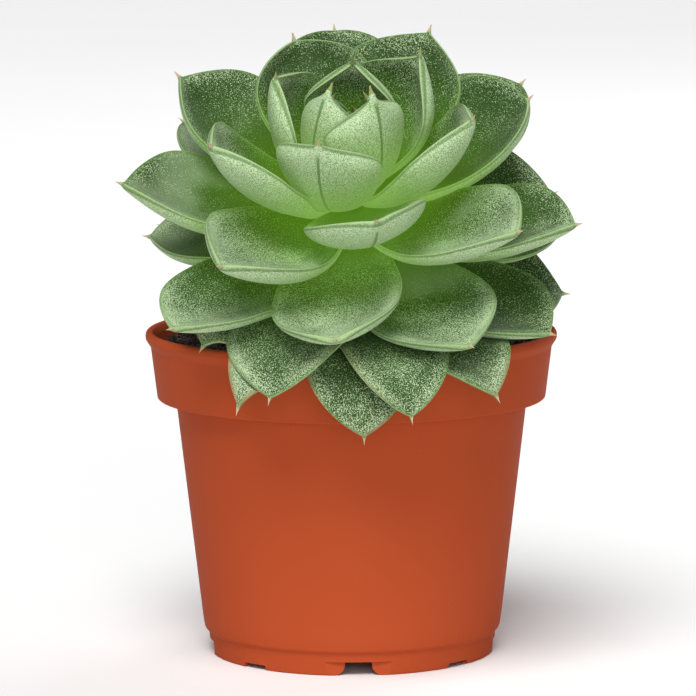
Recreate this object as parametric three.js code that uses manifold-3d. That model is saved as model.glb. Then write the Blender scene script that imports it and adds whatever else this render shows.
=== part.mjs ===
// A potted succulent: a leaf rosette on a short leaning stem, in a round plastic nursery pot.
// Millimetres, +Z up. The origin is the centre of the pot's foot, on the surface that it stands on,
// and -Y is the side that the rosette leans towards.

import * as THREE from 'three';
import { mergeVertices } from 'three/addons/utils/BufferGeometryUtils.js';
import Module from 'manifold-3d';

const wasm = await Module();
wasm.setup();

// ---------------------------------------------------------------- driving dimensions: the pot

const POT_SIDES = 44;
const WALL = 1.0;                       // the moulded wall, everywhere
const LIP_RADIUS = 45;                  // outside of the bead round the mouth
const LIP_TOP = 71;
const LIP_BEAD = 1.7;                   // height of the bead
const BAND_TOP = 67.4;                  // the tall plain band under the lip
const BAND_TOP_RADIUS = 43.9;
const BAND_LOW = 56.2;
const BAND_LOW_RADIUS = 42.5;
const BODY_TOP_RADIUS = 38.5;           // the body comes out under the band, set in by a flat ledge
const BODY_LOW = 8;
const BODY_LOW_RADIUS = 32.9;
const FOOT_SHOULDER = 5.4;              // the body's rounded lower corner
const FOOT_SHOULDER_RADIUS = 32.5;
const FOOT_TOP = 4.6;
const FOOT_TOP_RADIUS = 31.6;
const FOOT_RADIUS = 31.2;
const FOOT_WALL = 1.5;
const FLOOR_UNDERSIDE = 3.4;            // the floor hangs clear of the ground inside the foot,
const REST_RADIUS = 14;                 // but for a flat pad in the middle, which reaches the ground
const REST_SLOPE = 1.5;                 // how much wider the pad is at the floor

const NOTCH_TURN = 2.4;                 // degrees: the front notch is a little right of the middle
const NOTCH_COUNT = 4;
const NOTCH_WIDTH = 14.2;               // the shallow pocket in the foot's outside
const NOTCH_HEIGHT = 3.0;
const NOTCH_DEPTH = 0.7;
const MOUTH_WIDTH = 5.8;                // the way through at the back of the pocket
const MOUTH_ROUND = 2.3;                // the cheeks' lower corners, which widen it downwards
const SLIT_WIDTH = 6.2;                 // shallow slits half way between the notches
const SLIT_HEIGHT = 1.0;
const DRAIN_RADIUS = 3.2;               // drain holes in the floor, one behind each notch
const DRAIN_PLACE = 23;

// ---------------------------------------------------------------- driving dimensions: soil and stem

const SOIL_MIDDLE = 68.8;
const SOIL_EDGE = 67.8;

const STEM_APEX = new THREE.Vector3(-0.8, -24, 107.5);
const STEM_BEND = new THREE.Vector3(-0.8, -9, 86);
const STEM_ROOT = new THREE.Vector3(0, -8, 55);
const STEM_RADIUS = 4.4;
const STEM_SIDES = 5;
const STEM_STEPS = 6;

// ---------------------------------------------------------------- driving dimensions: the leaves

const LAST_AGE = 47;
const FALLEN = [29, 37, 41, 42, 43, 44, 45, 46];   // old leaves that have dropped off
const GOLDEN_ANGLE = 137.508;           // degrees between one leaf and the next older one
const FIRST_TURN = -46;                 // where leaf 0 points: 0 is the front, +90 is the right
const LEAF_STEP = 0.58;                 // along the stem from one leaf to the next
const ROOT_REACH = 5.1;                 // from the middle of the stem to a leaf's root
const ROOT_HEEL = 1.8;                  // how far a root's middle comes in towards the stem

// Each pair is the youngest leaf's value and the oldest's.
const LIFT = [87, -18];                 // degrees over the rosette's own plane
const LENGTH = [26, 49];
const WIDTH = [18, 28];
const THICKNESS = [2.6, 4.4];
const CUP = [1.0, 0.34];                // radians that a leaf's half width bends round the bud
const CURL = [30, 12];                  // degrees that a root sets off flatter than the leaf's chord
const POINT = [1.25, 0.62];             // over 1 an end is hollow-sided, under 1 it is blunt

const ROLLED_AT = 0.5;                  // of the leaf's length, where its roll is complete
const ROOT_WIDTH = 0.42;                // of the leaf's full width
const WIDEST_AT = 0.63;                 // of the leaf's length
const SHOULDER = 2.2;                   // how square the shoulders are between there and the tip
const ROOT_THICKNESS = 1.6;
const MARGIN_THICKNESS = 0.9;
const TIP_THICKNESS = 1.0;
const TIP_WIDTH = 1.2;
const TIP_FOLD = 0.15;                  // how far the blade folds along its midrib near the tip
const MUCRO_LENGTH = 2.0;               // the hard point at each leaf's tip

const LEAF_STATIONS = [0, 0.16, 0.38, 0.6, 0.78, 0.9, 0.97, 1];    // shares of the midrib
const UPPER_RING = [1, 0.5, 0, -0.5, -1];                          // shares of the half width
const UNDER_RING = [-1, -0.7, 0, 0.7, 1];
const BELLY_POWER = 2.4;                // how full the underside is towards the margins

const CLEARANCE = 0.3;                  // kept between neighbours
const YOUNGER_NEIGHBOURS = 16;          // how many leaves back a leaf can still touch another

// The heart: unopened leaves on the stem's tip, from the oldest inwards.
// Each pair is the innermost leaf's value and the outermost's.
const HEART_LEAVES = 6;
const HEART_REACH = [0.8, 3.2];         // from the stem's axis to a root
const HEART_LENGTH = [12, 21];
const HEART_WIDTH = [4.5, 10];
const HEART_THICKNESS = [1.2, 1.8];
const HEART_POINT = 1.6;
const HEART_LIFT = 88;
const HEART_CURL = 28;
const HEART_BASE = { top: 1.5, bottom: 3.8, height: 3, sides: 12 };
const HEART_STATIONS = [0, 0.4, 0.7, 0.9, 1];

// Single leaves depart from the rule, as the plant grew them: turn, lift, roll, curl and droop in
// degrees, reach and broad as shares of the leaf's length and width, low in mm further down the stem,
// and point, thickness, cup and fold as above. Droop bends a leaf's end down.
const CHARACTER = {
  0: { turn: 4, lift: 3, reach: 1.07, broad: 0.95, point: 1.7 },
  1: { turn: -5, reach: 0.93, broad: 1.15 },
  2: { turn: -5, lift: 8, reach: 1.05, point: 2.2 },
  3: { turn: -3, lift: 1, reach: 0.92, broad: 1.1 },
  4: { turn: 2, reach: 0.92, broad: 1.15, point: 1.35 },
  5: { turn: -1, lift: 3, point: 1.4, cup: 0.8, fold: 0 },
  6: { turn: -5, lift: -7, reach: 0.87, broad: 1.15, point: 0.55 },
  7: { turn: -7, lift: 6, point: 1, fold: 0.1 },
  8: { turn: 8, lift: 4 },
  9: { turn: -6, lift: -1, reach: 0.95, broad: 1.15, point: 1 },
  10: { turn: -10, lift: 4, roll: 8, point: 0.7, cup: 0.5, fold: 0 },
  11: { turn: -5, lift: -3, point: 0.95 },
  12: { turn: 7, lift: 2, reach: 0.95, broad: 1.12, point: 0.5 },
  13: { turn: -1, lift: -2 },
  14: { turn: -6, lift: 1, reach: 1.07, broad: 1.1, point: 0.6 },
  15: { turn: -2, lift: 8, roll: 8, fold: 0.1 },
  16: { turn: 3, lift: 6, point: 0.95 },
  17: { turn: -5, lift: 7, reach: 1.05, broad: 1.12, point: 0.75 },
  18: {
    turn: -2, lift: -1, broad: 1.03, curl: 12, droop: -16, roll: 10, point: 0.45,
    thickness: 3.3, fold: 0.05,
  },
  19: { turn: 4, lift: 1, broad: 0.8 },
  20: { turn: -10, lift: 9, point: 0.8 },
  21: { turn: 7, lift: -3, curl: 14, droop: -7, roll: 6, point: 0.55, thickness: 3.4, fold: 0.1 },
  23: {
    turn: -2, lift: 3, broad: 1.03, curl: 14, droop: -7, roll: 5, low: 1, point: 0.55,
    thickness: 3.4, fold: 0.1,
  },
  24: { turn: 3, lift: -5, reach: 0.87, point: 0.9 },
  25: { turn: 2, broad: 1.25, point: 0.6 },
  26: {
    turn: 2, lift: -2, curl: -18, droop: 18, roll: 12, low: 5.5, point: 0.8,
    thickness: 2.8, cup: 0.1, fold: 0.15,
  },
  28: { turn: -8, lift: 1, curl: 14, droop: 0, point: 0.7, thickness: 3.6 },
  31: {
    turn: 2, lift: 3, reach: 1.08, broad: 0.82, curl: -21, droop: 24, roll: -4, low: 7,
    point: 0.75, thickness: 2.8, cup: 0.1, fold: 0.15,
  },
  33: { turn: 7, lift: -9, point: 1 },
  34: {
    turn: -3, lift: 12, reach: 0.84, broad: 0.85, curl: -14, droop: 30, low: 6, point: 1,
    thickness: 2.6, cup: 0.15,
  },
  36: {
    turn: -9, lift: 4, reach: 1.05, broad: 0.8, curl: -16, droop: 16, low: 3,
    point: 0.95, thickness: 3, cup: 0.15,
  },
  38: { turn: 14, lift: -5 },
  39: {
    turn: 12, lift: -3, broad: 0.85, curl: -37, droop: 34, low: 2.5, point: 0.95,
    thickness: 2.4, cup: 0.1,
  },
  47: {
    turn: 2, lift: 10, broad: 0.64, curl: -26, droop: 24, roll: -3, low: 4, point: 1.1,
    thickness: 2.4, cup: 0.15,
  },
};

// ---------------------------------------------------------------- materials

const finish = (hex, roughness) => new THREE.MeshStandardMaterial({ color: hex, roughness, metalness: 0 });
const terracottaPlastic = finish(0xae4b2e, 0.5);
const pottingMix = finish(0x241a14, 1.0);
const stemGreen = finish(0x8fa05a, 0.7);
const leafGreen = finish(0x5f8050, 0.55);
const heartGreen = finish(0x6f9450, 0.55);

// ---------------------------------------------------------------- helpers

const radians = THREE.MathUtils.degToRad;
const mix = THREE.MathUtils.lerp;

function toSolid(geometry) {
  const bare = new THREE.BufferGeometry();
  bare.setAttribute('position', geometry.getAttribute('position').clone());
  if (geometry.index) {
    bare.setIndex(geometry.index.clone());
  }
  const merged = mergeVertices(bare, 1e-4);
  return new wasm.Manifold(new wasm.Mesh({
    numProp: 3,
    vertProperties: new Float32Array(merged.getAttribute('position').array),
    triVerts: new Uint32Array(merged.index.array),
  }));
}

function toGeometry(solid) {
  const { vertProperties, triVerts } = solid.getMesh();
  const geometry = new THREE.BufferGeometry();
  geometry.setAttribute('position', new THREE.BufferAttribute(vertProperties, 3));
  geometry.setIndex(new THREE.BufferAttribute(triVerts, 1));
  geometry.computeVertexNormals();
  return geometry;
}

function node(name, geometry, material) {
  const mesh = new THREE.Mesh(geometry, material);
  mesh.name = name;
  return mesh;
}

// A profile of [radius, height] points, with its inside on the left, turned round +Z.
function turned(profile, sides) {
  const points = profile.map(([radius, height]) => new THREE.Vector2(radius, height));
  return new THREE.LatheGeometry(points, sides).rotateX(Math.PI / 2);
}

// A front outline in (x, z), cut from y = -from inwards over a depth.
function cutter(outline, from, depth) {
  return toSolid(new THREE.ExtrudeGeometry(outline, { depth, bevelEnabled: false, curveSegments: 3 })
    .rotateX(Math.PI / 2)
    .translate(0, depth - from, 0));
}

// ---------------------------------------------------------------- the pot

const innerFloor = FLOOR_UNDERSIDE + WALL;
const innerLedge = BAND_LOW + WALL;

function potBody() {
  const beadLow = LIP_TOP - LIP_BEAD;
  const beadTop = LIP_RADIUS - 0.45;
  return toSolid(turned([
    [FOOT_RADIUS - FOOT_WALL, 0],
    [FOOT_RADIUS, 0],
    [FOOT_TOP_RADIUS, FOOT_TOP],
    [FOOT_SHOULDER_RADIUS, FOOT_SHOULDER],
    [BODY_LOW_RADIUS, BODY_LOW],
    [BODY_TOP_RADIUS, BAND_LOW],
    [BAND_LOW_RADIUS, BAND_LOW],
    [BAND_TOP_RADIUS, BAND_TOP],
    [LIP_RADIUS, beadLow],
    [LIP_RADIUS, LIP_TOP - 0.5],
    [beadTop, LIP_TOP],
    [LIP_RADIUS - 1.5, LIP_TOP],
    [BAND_TOP_RADIUS - WALL, beadLow],
    [BAND_LOW_RADIUS - WALL, innerLedge],
    [BODY_TOP_RADIUS - WALL, innerLedge],
    [BODY_LOW_RADIUS - WALL, BODY_LOW],
    [FOOT_TOP_RADIUS - FOOT_WALL, innerFloor],
    [REST_RADIUS + REST_SLOPE - WALL, innerFloor],
    [REST_RADIUS - WALL, WALL],
    [0, WALL],
    [0, 0],
    [REST_RADIUS, 0],
    [REST_RADIUS + REST_SLOPE, FLOOR_UNDERSIDE],
    [FOOT_RADIUS - FOOT_WALL, FLOOR_UNDERSIDE],
    [FOOT_RADIUS - FOOT_WALL, 0],
  ], POT_SIDES));
}

function rectangle(width, height, below = 1) {
  const shape = new THREE.Shape();
  shape.moveTo(-width / 2, -below);
  shape.lineTo(width / 2, -below);
  shape.lineTo(width / 2, height);
  shape.lineTo(-width / 2, height);
  shape.closePath();
  return shape;
}

// The way through the foot between two cheeks, whose lower corners are rounded off.
function mouthOutline() {
  const half = MOUTH_WIDTH / 2;
  const low = half + MOUTH_ROUND;
  const shape = new THREE.Shape();
  shape.moveTo(-low, -1);
  shape.lineTo(low, -1);
  shape.lineTo(low, 0);
  shape.absarc(low, MOUTH_ROUND, MOUTH_ROUND, -Math.PI / 2, -Math.PI, true);
  shape.lineTo(half, NOTCH_HEIGHT);
  shape.lineTo(-half, NOTCH_HEIGHT);
  shape.absarc(-low, MOUTH_ROUND, MOUTH_ROUND, 0, -Math.PI / 2, true);
  shape.closePath();
  return shape;
}

function makePot() {
  const notch = cutter(rectangle(NOTCH_WIDTH, NOTCH_HEIGHT), FOOT_RADIUS + 2, NOTCH_DEPTH + 2)
    .add(cutter(mouthOutline(), FOOT_RADIUS + 2, FOOT_WALL + 4));
  const slit = cutter(rectangle(SLIT_WIDTH, SLIT_HEIGHT), FOOT_RADIUS + 2, FOOT_WALL + 4);
  const drain = toSolid(new THREE.CylinderGeometry(DRAIN_RADIUS, DRAIN_RADIUS, 8, 16)
    .rotateX(Math.PI / 2)
    .translate(0, -DRAIN_PLACE, innerFloor - 2));
  let pot = potBody();
  for (let i = 0; i < NOTCH_COUNT; i += 1) {
    const turn = NOTCH_TURN + i * 360 / NOTCH_COUNT;
    pot = pot.subtract(notch.rotate([0, 0, turn]));
    pot = pot.subtract(drain.rotate([0, 0, turn]));
    pot = pot.subtract(slit.rotate([0, 0, turn + 180 / NOTCH_COUNT]));
  }
  return pot;
}

// ---------------------------------------------------------------- the stem

const stemLine = new THREE.QuadraticBezierCurve3(STEM_APEX, STEM_BEND, STEM_ROOT);

function stemOf(radius) {
  const circle = new THREE.Shape();
  circle.absarc(0, 0, radius, 0, 2 * Math.PI);
  return toSolid(new THREE.ExtrudeGeometry(circle, {
    steps: STEM_STEPS,
    curveSegments: STEM_SIDES,
    extrudePath: stemLine,
  }));
}

// ---------------------------------------------------------------- the soil

function makeSoil() {
  const gap = CLEARANCE;
  const soil = toSolid(turned([
    [0, WALL + gap],
    [REST_RADIUS - WALL - gap, WALL + gap],
    [REST_RADIUS + REST_SLOPE - WALL - gap, innerFloor + gap],
    [FOOT_TOP_RADIUS - FOOT_WALL - gap, innerFloor + gap],
    [BODY_LOW_RADIUS - WALL - gap, BODY_LOW + gap],
    [BODY_TOP_RADIUS - WALL - gap, innerLedge + gap],
    [BAND_LOW_RADIUS - WALL - gap, innerLedge + gap],
    [BAND_TOP_RADIUS - WALL - gap, SOIL_EDGE],
    [0, SOIL_MIDDLE],
  ], POT_SIDES));
  return soil.subtract(stemOf(STEM_RADIUS + gap));
}

// ---------------------------------------------------------------- the leaves

// 1 for the youngest leaf, falling towards 0 over about this many leaves.
const youth = (age, leaves, power = 1) => Math.exp(-((age / leaves) ** power));

function leafSizes(age) {
  const aged = ([young, old], share) => mix(old, young, share);
  return {
    lift: aged(LIFT, youth(age, 12, 1.15)),
    length: aged(LENGTH, youth(age, 9, 1.2)),
    width: aged(WIDTH, youth(age, 5)),
    thickness: aged(THICKNESS, youth(age, 5)),
    cup: aged(CUP, youth(age, 12)),
    curl: aged(CURL, youth(age, 10)),
    point: aged(POINT, youth(age, 4)),
  };
}

// The frame of a leaf's root: out from the stem, sideways, and up along the stem.
function rootFrame(age, turn, reach, low = 0) {
  const along = Math.max(0, (age * LEAF_STEP + low) / stemLine.getLength());
  const up = stemLine.getTangentAt(along).negate();
  const front = new THREE.Vector3(0, -1, 0).projectOnPlane(up).normalize();
  const out = front.applyAxisAngle(up, radians(turn));
  const side = new THREE.Vector3().crossVectors(up, out);
  const root = stemLine.getPointAt(along).addScaledVector(out, reach);
  return { root, out, side, up };
}

// The share of its half width that a blade has at a station, from its root to its tip.
function bladeOutline(station, point) {
  if (station < WIDEST_AT) {
    const rise = Math.sin(station / WIDEST_AT * Math.PI / 2) ** 1.25;
    return mix(ROOT_WIDTH, 1, rise);
  }
  const fall = (station - WIDEST_AT) / (1 - WIDEST_AT);
  return (1 - fall ** SHOULDER) ** point;
}

function bladeThickness(station, full) {
  const ends = mix(ROOT_THICKNESS, TIP_THICKNESS, station);
  return mix(ends, full, Math.sin(Math.PI * station ** 0.85) ** 0.7);
}

// One blade: rings of points round its cross-section, from the root to the tip, and the mucro.
// A blade that is swollen by the clearance serves to cut its neighbours back.
function makeBlade(age, sizes, stations, swell = 0) {
  const turn = FIRST_TURN - age * GOLDEN_ANGLE + (sizes.turn ?? 0);
  const { root, out, side, up } = rootFrame(age, turn, sizes.rootReach ?? ROOT_REACH, sizes.low);
  const towards = (degrees) => out.clone().multiplyScalar(Math.cos(radians(degrees)))
    .addScaledVector(up, Math.sin(radians(degrees)));
  const chord = sizes.length - MUCRO_LENGTH;
  const tip = root.clone().addScaledVector(towards(sizes.lift), chord);
  const midrib = new THREE.CubicBezierCurve3(
    root,
    root.clone().addScaledVector(towards(sizes.lift - sizes.curl), chord / 3),
    tip.clone().addScaledVector(towards(sizes.lift + sizes.curl * 0.8 - (sizes.droop ?? 0)), -chord / 3),
    tip,
  );
  const points = [];
  const perRing = UPPER_RING.length + UNDER_RING.length;
  for (const station of stations) {
    const middle = midrib.getPoint(station);
    const along = midrib.getTangent(station);
    const rolled = (sizes.roll ?? 0) * Math.sin(Math.min(1, station / ROLLED_AT) * Math.PI / 2);
    const across = side.clone().applyAxisAngle(along, radians(rolled));
    const face = new THREE.Vector3().crossVectors(along, across);
    const half = Math.max(sizes.width / 2 * bladeOutline(station, sizes.point), TIP_WIDTH / 2) + swell;
    const thick = bladeThickness(station, sizes.thickness);
    const edge = Math.min(MARGIN_THICKNESS, thick * 0.8);
    const fold = (sizes.fold ?? TIP_FOLD) * station ** 3;
    const place = (u, drop) => {
      const bend = sizes.cup * u;
      const aside = half * Math.sin(bend) / sizes.cup + drop * Math.sin(bend);
      const folded = fold * half * Math.abs(u);
      const rise = half * (1 - Math.cos(bend)) / sizes.cup + folded - drop * Math.cos(bend);
      points.push(middle.clone().addScaledVector(across, aside).addScaledVector(face, rise));
    };
    UPPER_RING.forEach((u) => place(u, -swell));
    UNDER_RING.forEach((u) => {
      const belly = 1 - Math.abs(u) ** BELLY_POWER;
      place(u, edge + (thick - edge) * belly + swell);
    });
  }
  const last = stations.length - 1;
  const mucro = tip.clone().addScaledVector(midrib.getTangent(1), MUCRO_LENGTH + swell);
  const heel = root.clone()
    .addScaledVector(up, -bladeThickness(0, sizes.thickness) / 2)
    .addScaledVector(out, -ROOT_HEEL);
  points.push(mucro, heel);

  const triangles = [];
  for (let k = 0; k < perRing; k += 1) {
    const next = (k + 1) % perRing;
    for (let ring = 0; ring < last; ring += 1) {
      const low = ring * perRing;
      const high = low + perRing;
      triangles.push(low + k, low + next, high + next, low + k, high + next, high + k);
    }
    triangles.push(last * perRing + k, last * perRing + next, points.length - 2);
    triangles.push(next, k, points.length - 1);
  }
  const geometry = new THREE.BufferGeometry().setFromPoints(points);
  geometry.setIndex(triangles);
  return toSolid(geometry);
}

function largest(solid) {
  return solid.decompose().sort((a, b) => b.volume() - a.volume())[0];
}

const ages = Array.from({ length: LAST_AGE + 1 }, (_, age) => age).filter((age) => !FALLEN.includes(age));

function ownSizes(age) {
  const { lift = 0, reach = 1, broad = 1, ...others } = CHARACTER[age] ?? {};
  const rule = leafSizes(age);
  return {
    ...rule,
    lift: rule.lift + lift,
    length: rule.length * reach,
    width: rule.width * broad,
    ...others,
  };
}

// Each leaf is cut back where it would cross the stem or a younger leaf, which lies over it.
function makeLeaves() {
  const stem = stemOf(STEM_RADIUS + CLEARANCE);
  const swollen = ages.map((age) => makeBlade(age, ownSizes(age), LEAF_STATIONS, CLEARANCE));
  return ages.map((age, i) => {
    let leaf = makeBlade(age, ownSizes(age), LEAF_STATIONS).subtract(stem);
    for (let younger = Math.max(0, i - YOUNGER_NEIGHBOURS); younger < i; younger += 1) {
      leaf = leaf.subtract(swollen[younger]);
    }
    return largest(leaf);
  });
}

// The heart stands on the stem's tip: a base, and the leaves that haven't opened yet.
function makeHeart() {
  const tip = rootFrame(0, 0, 0);
  const { top, bottom, height, sides } = HEART_BASE;
  const base = new THREE.CylinderGeometry(top, bottom, height, sides)
    .translate(0, height / 2 + CLEARANCE, 0)
    .applyQuaternion(new THREE.Quaternion().setFromUnitVectors(new THREE.Vector3(0, 1, 0), tip.up))
    .translate(tip.root.x, tip.root.y, tip.root.z);
  let heart = toSolid(base);
  for (let i = 1; i <= HEART_LEAVES; i += 1) {
    const grown = (HEART_LEAVES - i) / (HEART_LEAVES - 1);
    heart = heart.add(makeBlade(-i, {
      lift: HEART_LIFT,
      length: mix(...HEART_LENGTH, grown),
      width: mix(...HEART_WIDTH, grown),
      thickness: mix(...HEART_THICKNESS, grown),
      rootReach: mix(...HEART_REACH, grown),
      cup: CUP[0],
      curl: HEART_CURL,
      point: HEART_POINT,
    }, HEART_STATIONS));
  }
  heart = heart.trimByPlane(tip.up.toArray(), tip.root.dot(tip.up) + CLEARANCE);
  for (const age of ages.slice(0, YOUNGER_NEIGHBOURS)) {
    heart = heart.subtract(makeBlade(age, ownSizes(age), LEAF_STATIONS, CLEARANCE));
  }
  return largest(heart);
}

// ---------------------------------------------------------------- the plant in its pot

const plant = new THREE.Group();
plant.add(node('pot', toGeometry(makePot()), terracottaPlastic));
plant.add(node('soil', toGeometry(makeSoil()), pottingMix));
plant.add(node('stem', toGeometry(stemOf(STEM_RADIUS)), stemGreen));
plant.add(node('heart', toGeometry(makeHeart()), heartGreen));
makeLeaves().forEach((leaf, i) => {
  plant.add(node(`leaf_${String(ages[i]).padStart(2, '0')}`, toGeometry(leaf), leafGreen));
});

export default plant;
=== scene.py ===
# %% [markdown]
# # A potted succulent
#
# A rosette plant is a good first lesson in growing a shape by a rule. Every leaf is the same leaf at
# another age: it starts upright in the heart, and as younger leaves push it outwards it grows longer,
# flatter and lower. So this scene has one leaf-making function, one rule for how a leaf's sizes follow
# its age, and a short table of the small ways in which single leaves depart from that rule.
#
# The solids of the part are loaded first. They give the frame: metres, +Z up, the origin under the
# middle of the pot, and -Y the side that the rosette leans towards.

import math
import random

import bmesh
import bpy
from mathutils import Matrix, Quaternion, Vector, noise
from mathutils.bvhtree import BVHTree


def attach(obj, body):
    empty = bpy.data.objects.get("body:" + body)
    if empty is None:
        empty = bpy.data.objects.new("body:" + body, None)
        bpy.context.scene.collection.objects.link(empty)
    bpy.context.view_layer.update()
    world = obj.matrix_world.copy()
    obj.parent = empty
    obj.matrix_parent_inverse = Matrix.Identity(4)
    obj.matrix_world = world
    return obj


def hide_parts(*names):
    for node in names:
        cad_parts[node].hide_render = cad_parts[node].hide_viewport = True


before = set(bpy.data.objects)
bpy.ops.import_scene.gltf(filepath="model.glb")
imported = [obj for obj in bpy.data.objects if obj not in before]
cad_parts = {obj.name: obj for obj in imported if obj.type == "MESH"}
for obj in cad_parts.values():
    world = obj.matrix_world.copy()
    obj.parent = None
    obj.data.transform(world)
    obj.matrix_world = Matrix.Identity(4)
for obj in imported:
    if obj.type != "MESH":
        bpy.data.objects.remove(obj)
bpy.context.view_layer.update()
MM = 0.001

# %% [markdown]
# ## Camera
#
# The photo was taken with a long lens from about a metre away and a little above, so the pot's rim is a
# narrow ellipse and its sides hardly converge. A long focal length gives the same calm perspective. The
# camera is aimed with a matrix, which is surer than angles: its -Z looks at the target.

# %% Camera
FRAME_PIXELS = 696
FOCAL_PIXELS = 4630
CAMERA_PLACE = Vector((-0.72, -1005, 203)) * MM
CAMERA_TARGET = Vector((-0.72, 0, 66.7)) * MM
CAMERA_ROLL = math.radians(-0.2)

camera_data = bpy.data.cameras.new("camera")
camera_data.sensor_width = 36
camera_data.lens = camera_data.sensor_width * FOCAL_PIXELS / FRAME_PIXELS
camera = bpy.data.objects.new("camera", camera_data)
bpy.context.scene.collection.objects.link(camera)
aim = (CAMERA_TARGET - CAMERA_PLACE).to_track_quat("-Z", "Y").to_matrix().to_4x4()
camera.matrix_world = Matrix.Translation(CAMERA_PLACE) @ aim @ Matrix.Rotation(CAMERA_ROLL, 4, "Z")
bpy.context.scene.camera = camera
print("lens, mm:", round(camera_data.lens, 1))

# %% [markdown]
# ## Light and floor
#
# A studio shot of a plant has a large soft light high in front, which makes the leaves that lie flat
# brighter than those that stand up, and a weaker low one that reaches the undersides and the pot. Both
# are sun lamps with a wide disc: these make the whole floor equally white, which a near lamp can't. A
# fill from behind right and a little light from the sky keep the shadows open. The standard view keeps
# the bright greens as bright as they are in a printed picture.

# %% Light and floor
KEY_FROM = Vector((-0.2, -1, 1.5))
KEY_SPREAD = math.radians(34)
KEY_STRENGTH = 3.3
FRONT_FROM = Vector((0.06, -1, 0.28))
FRONT_SPREAD = math.radians(34)
FRONT_STRENGTH = 1.25
FILL_PLACE = Vector((0.8, 1.0, 0.9))
FILL_SIZE = 0.9
FILL_POWER = 6
SKY_STRENGTH = 0.12
FLOOR_SIZE = 10

bpy.context.scene.view_settings.view_transform = "Standard"


def lamp(name, kind, place, strength, target=Vector((0, 0, 0.085))):
    """A lamp that looks from its place at the target."""
    data = bpy.data.lights.new(name, kind)
    data.energy = strength
    light = bpy.data.objects.new(name, data)
    bpy.context.scene.collection.objects.link(light)
    turn = (target - place).to_track_quat("-Z", "Y").to_matrix().to_4x4()
    light.matrix_world = Matrix.Translation(place) @ turn
    return data


lamp("key", "SUN", KEY_FROM, KEY_STRENGTH).angle = KEY_SPREAD
lamp("front", "SUN", FRONT_FROM, FRONT_STRENGTH).angle = FRONT_SPREAD
lamp("fill", "AREA", FILL_PLACE, FILL_POWER).size = FILL_SIZE
sky = bpy.data.worlds.new("sky")
sky.use_nodes = True
sky.node_tree.nodes["Background"].inputs["Color"].default_value = (1, 1, 1, 1)
sky.node_tree.nodes["Background"].inputs["Strength"].default_value = SKY_STRENGTH
bpy.context.scene.world = sky

# %% [markdown]
# ## Shader maths
#
# Procedural materials are formulas: "mix these two greens by a mask that is one near the margin". Written
# as nodes they are long, so this small class lets Python's own + - * build the Math nodes. A Wire is one
# output of a node; a Paint is one material. Colours never pass through Math nodes, which would turn them
# grey, but through Mix nodes.

# %% Shader maths


class Wire:
    """One output of a node. Arithmetic on it adds Math nodes to the same material."""

    def __init__(self, paint, socket):
        self.paint = paint
        self.socket = socket

    def math(self, operation, *values):
        return self.paint.node("ShaderNodeMath", {"operation": operation}, dict(enumerate(values)))

    def __add__(self, other):
        return self.math("ADD", self, other)

    def __sub__(self, other):
        return self.math("SUBTRACT", self, other)

    def __rsub__(self, other):
        return self.math("SUBTRACT", other, self)

    def __mul__(self, other):
        return self.math("MULTIPLY", self, other)

    __radd__ = __add__
    __rmul__ = __mul__

    def size(self):
        return self.math("ABSOLUTE", self)

    def rise(self, low, high):
        """0 below low, 1 above high, and a smooth step between them. High may be the lower one."""
        limits = {"Value": self, "From Min": low, "From Max": high}
        return self.paint.node("ShaderNodeMapRange", {"interpolation_type": "SMOOTHSTEP"}, limits)

    def parts(self):
        """The three numbers of a vector."""
        split = self.paint.raw("ShaderNodeSeparateXYZ", {}, {0: self})
        return [Wire(self.paint, output) for output in split.outputs]


class Paint:
    """A material with one Principled shader, and short ways to add the nodes that feed it."""

    def __init__(self, name, **constants):
        self.material = bpy.data.materials.new(name)
        self.material.use_nodes = True
        self.nodes = self.material.node_tree.nodes
        self.links = self.material.node_tree.links
        self.shader = self.nodes["Principled BSDF"]
        for socket, value in constants.items():
            self.shader.inputs[socket.replace("_", " ")].default_value = value

    def raw(self, kind, settings, inputs):
        """A new node of any kind. Its settings come first, since they decide which inputs it has."""
        node = self.nodes.new(kind)
        for setting, value in settings.items():
            setattr(node, setting, value)
        for key, value in inputs.items():
            if isinstance(value, Wire):
                self.links.new(value.socket, node.inputs[key])
            else:
                node.inputs[key].default_value = value
        return node

    def node(self, kind, settings, inputs, output=0):
        return Wire(self, self.raw(kind, settings, inputs).outputs[output])

    def mix(self, share, first, second):
        """A colour between two others. A node for colours has them at inputs 6 and 7, and output 2."""
        return self.node("ShaderNodeMix", {"data_type": "RGBA"}, {0: share, 6: first, 7: second}, 2)

    def place(self):
        """Where a point is in the piece, in metres."""
        return self.node("ShaderNodeTexCoord", {}, {}, "Object")

    def own(self, attribute, output="Vector"):
        """A value that the piece's own points carry."""
        return self.node("ShaderNodeAttribute", {"attribute_name": attribute}, {}, output)

    def noise(self, scale, detail, roughness=0.5):
        inputs = {"Vector": self.place(), "Scale": scale, "Detail": detail, "Roughness": roughness}
        return self.node("ShaderNodeTexNoise", {}, inputs)

    def cells(self, scale, output="Distance"):
        return self.node("ShaderNodeTexVoronoi", {}, {"Vector": self.place(), "Scale": scale}, output)

    def bump(self, height, distance, strength):
        inputs = {"Height": height, "Distance": distance, "Strength": strength}
        return self.node("ShaderNodeBump", {}, inputs)

    def feed(self, **inputs):
        for socket, wire in inputs.items():
            self.links.new(wire.socket, self.shader.inputs[socket.replace("_", " ")])


def colour(red, green, blue):
    return (red, green, blue, 1)


# %% [markdown]
# ## Making a piece
#
# A mesh is made in a bmesh and then handed over once. The piece's object stays at the origin, and its
# place is in its mesh, as for the solids, so that patterns don't slide. It rides on the one body that
# this part has, and it may stand for a solid, which is then hidden.

# %% Making a piece


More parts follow.
